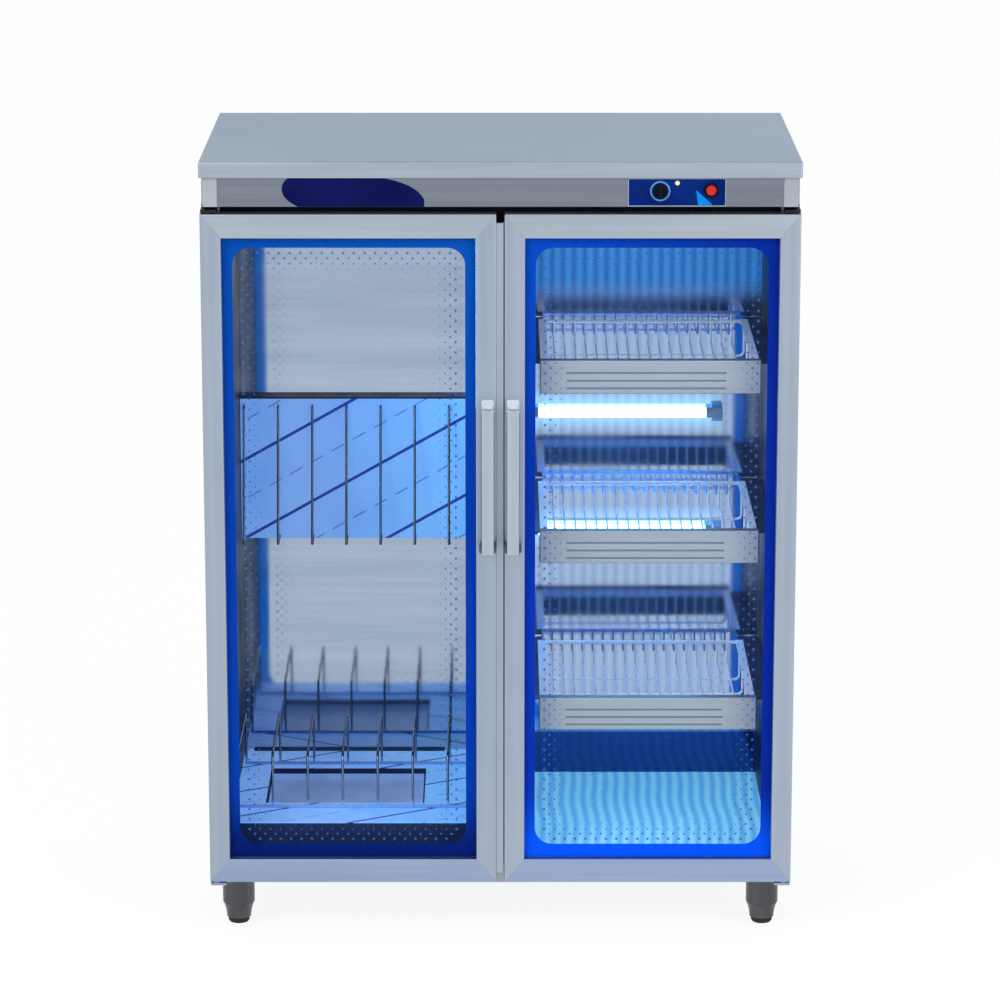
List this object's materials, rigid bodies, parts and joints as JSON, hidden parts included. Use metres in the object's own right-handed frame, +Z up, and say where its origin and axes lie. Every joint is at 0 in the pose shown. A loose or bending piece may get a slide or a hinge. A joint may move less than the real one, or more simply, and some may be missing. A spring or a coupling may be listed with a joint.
{
  "type": "dish sterilizer",
  "caption": "Free-standing ultraviolet dish sterilizer cabinet with glazed hinged doors, plate rack, board rest, pull-out baskets, timer knob and levelling feet",
  "frame": {"origin": "on the floor under the middle of the bounding box", "axes": "+Z up, +X to the right seen from the front, the doors face -Y"},
  "size_m": [0.9, 0.536, 1.21],
  "materials": {
    "shell_steel": "satin",
    "liner_steel": "polished",
    "fascia_grey": "satin",
    "cap_grey": "satin",
    "header_black": "matte",
    "door_aluminium": "satin anodised",
    "door_glass": "clear, blue printed edge",
    "gasket_rubber": "matte",
    "handle_grip": "satin",
    "handle_post": "gloss",
    "control_blue": "gloss",
    "black_plastic": "satin",
    "button_red": "gloss",
    "lens_amber": "gloss",
    "ballast_white": "satin",
    "bracket_steel": "satin",
    "uv_glass": "clear",
    "holder_white": "satin",
    "film_blue": "blue film",
    "wire_steel": "polished",
    "drawer_grey": "satin",
    "foot_steel": "satin"
  },
  "bodies": {
    "cabinet": {"left_side_panel": "shell_steel", "right_side_panel": "shell_steel", "back_panel": "shell_steel", "base_pan": "shell_steel", "top_cover": "shell_steel", "left_liner": "liner_steel", "right_liner": "liner_steel", "partition": "liner_steel", "back_liner": "liner_steel", "ceiling_liner": "liner_steel", "floor_liner": "liner_steel", "header_rail": "header_black", "control_fascia": "fascia_grey", "fascia_end_caps": "cap_grey", "control_plate": "control_blue", "timer_body": "black_plastic", "switch_housing": "black_plastic", "indicator_lens": "lens_amber", "lamp_ballasts": "ballast_white", "cord_gland": "black_plastic", "hinge_brackets": "bracket_steel", "hinge_pins": "bracket_steel", "uv_tubes": "uv_glass", "lamp_holders": "holder_white", "false_floor": "film_blue", "drip_tray": "liner_steel", "plate_rack": "wire_steel", "rest_panel": "film_blue", "board_rack": "wire_steel", "drawer_runners": "liner_steel", "foot_tubes": "foot_steel"},
    "left_door": {"left_door_hinge_stile": "door_aluminium", "left_door_meeting_stile": "door_aluminium", "left_door_top_rail": "door_aluminium", "left_door_bottom_rail": "door_aluminium", "left_door_glass": "door_glass", "left_door_gasket": "gasket_rubber", "left_door_handle_grip": "handle_grip", "left_door_handle_posts": "handle_post"},
    "right_door": {"right_door_hinge_stile": "door_aluminium", "right_door_meeting_stile": "door_aluminium", "right_door_top_rail": "door_aluminium", "right_door_bottom_rail": "door_aluminium", "right_door_glass": "door_glass", "right_door_gasket": "gasket_rubber", "right_door_handle_grip": "handle_grip", "right_door_handle_posts": "handle_post"},
    "lower_drawer": {"lower_drawer_front": "drawer_grey", "lower_drawer_basket": "wire_steel"},
    "middle_drawer": {"middle_drawer_front": "drawer_grey", "middle_drawer_basket": "wire_steel"},
    "upper_drawer": {"upper_drawer_front": "drawer_grey", "upper_drawer_basket": "wire_steel"},
    "timer_knob": {"timer_knob": "black_plastic"},
    "power_button": {"power_button": "button_red"},
    "levelling_foot_front_left": {"levelling_foot_front_left": "foot_steel"},
    "levelling_foot_front_right": {"levelling_foot_front_right": "foot_steel"},
    "levelling_foot_rear_left": {"levelling_foot_rear_left": "foot_steel"},
    "levelling_foot_rear_right": {"levelling_foot_rear_right": "foot_steel"}
  },
  "joints": [
    {"name": "left_door_hinge", "type": "hinge", "parent": "cabinet", "child": "left_door", "pos_m": [-0.439, -0.222, 0.6], "axis": [0, 0, -1], "range_deg": [0, 110]},
    {"name": "right_door_hinge", "type": "hinge", "parent": "cabinet", "child": "right_door", "pos_m": [0.439, -0.222, 0.6], "axis": [0, 0, 1], "range_deg": [0, 110]},
    {"name": "lower_drawer_slide", "type": "slide", "parent": "cabinet", "child": "lower_drawer", "axis": [0, -1, 0], "range_m": [0, 0.1922]},
    {"name": "middle_drawer_slide", "type": "slide", "parent": "cabinet", "child": "middle_drawer", "axis": [0, -1, 0], "range_m": [0, 0.1922]},
    {"name": "upper_drawer_slide", "type": "slide", "parent": "cabinet", "child": "upper_drawer", "axis": [0, -1, 0], "range_m": [0, 0.1922]},
    {"name": "timer_turn", "type": "hinge", "parent": "cabinet", "child": "timer_knob", "pos_m": [0.238, -0.235, 1.1653], "axis": [0, 1, 0], "range_deg": [0, 300]},
    {"name": "power_press", "type": "slide", "parent": "cabinet", "child": "power_button", "axis": [0, 1, 0], "range_m": [0, 0.0025], "stiffness_N_per_m": 400},
    {"name": "levelling_turn_front_left", "type": "hinge", "parent": "cabinet", "child": "levelling_foot_front_left", "pos_m": [-0.409, -0.17, 0.02], "axis": [0, 0, 1], "continuous": true},
    {"name": "levelling_turn_front_right", "type": "hinge", "parent": "cabinet", "child": "levelling_foot_front_right", "pos_m": [0.409, -0.17, 0.02], "axis": [0, 0, 1], "continuous": true},
    {"name": "levelling_turn_rear_left", "type": "hinge", "parent": "cabinet", "child": "levelling_foot_rear_left", "pos_m": [-0.409, 0.234, 0.02], "axis": [0, 0, 1], "continuous": true},
    {"name": "levelling_turn_rear_right", "type": "hinge", "parent": "cabinet", "child": "levelling_foot_rear_right", "pos_m": [0.409, 0.234, 0.02], "axis": [0, 0, 1], "continuous": true}
  ],
  "couplings": [
    {"joint": "lower_drawer_slide", "follows": "right_door_hinge", "m_per_rad": 0.1},
    {"joint": "middle_drawer_slide", "follows": "right_door_hinge", "m_per_rad": 0.1},
    {"joint": "upper_drawer_slide", "follows": "right_door_hinge", "m_per_rad": 0.1}
  ]
}
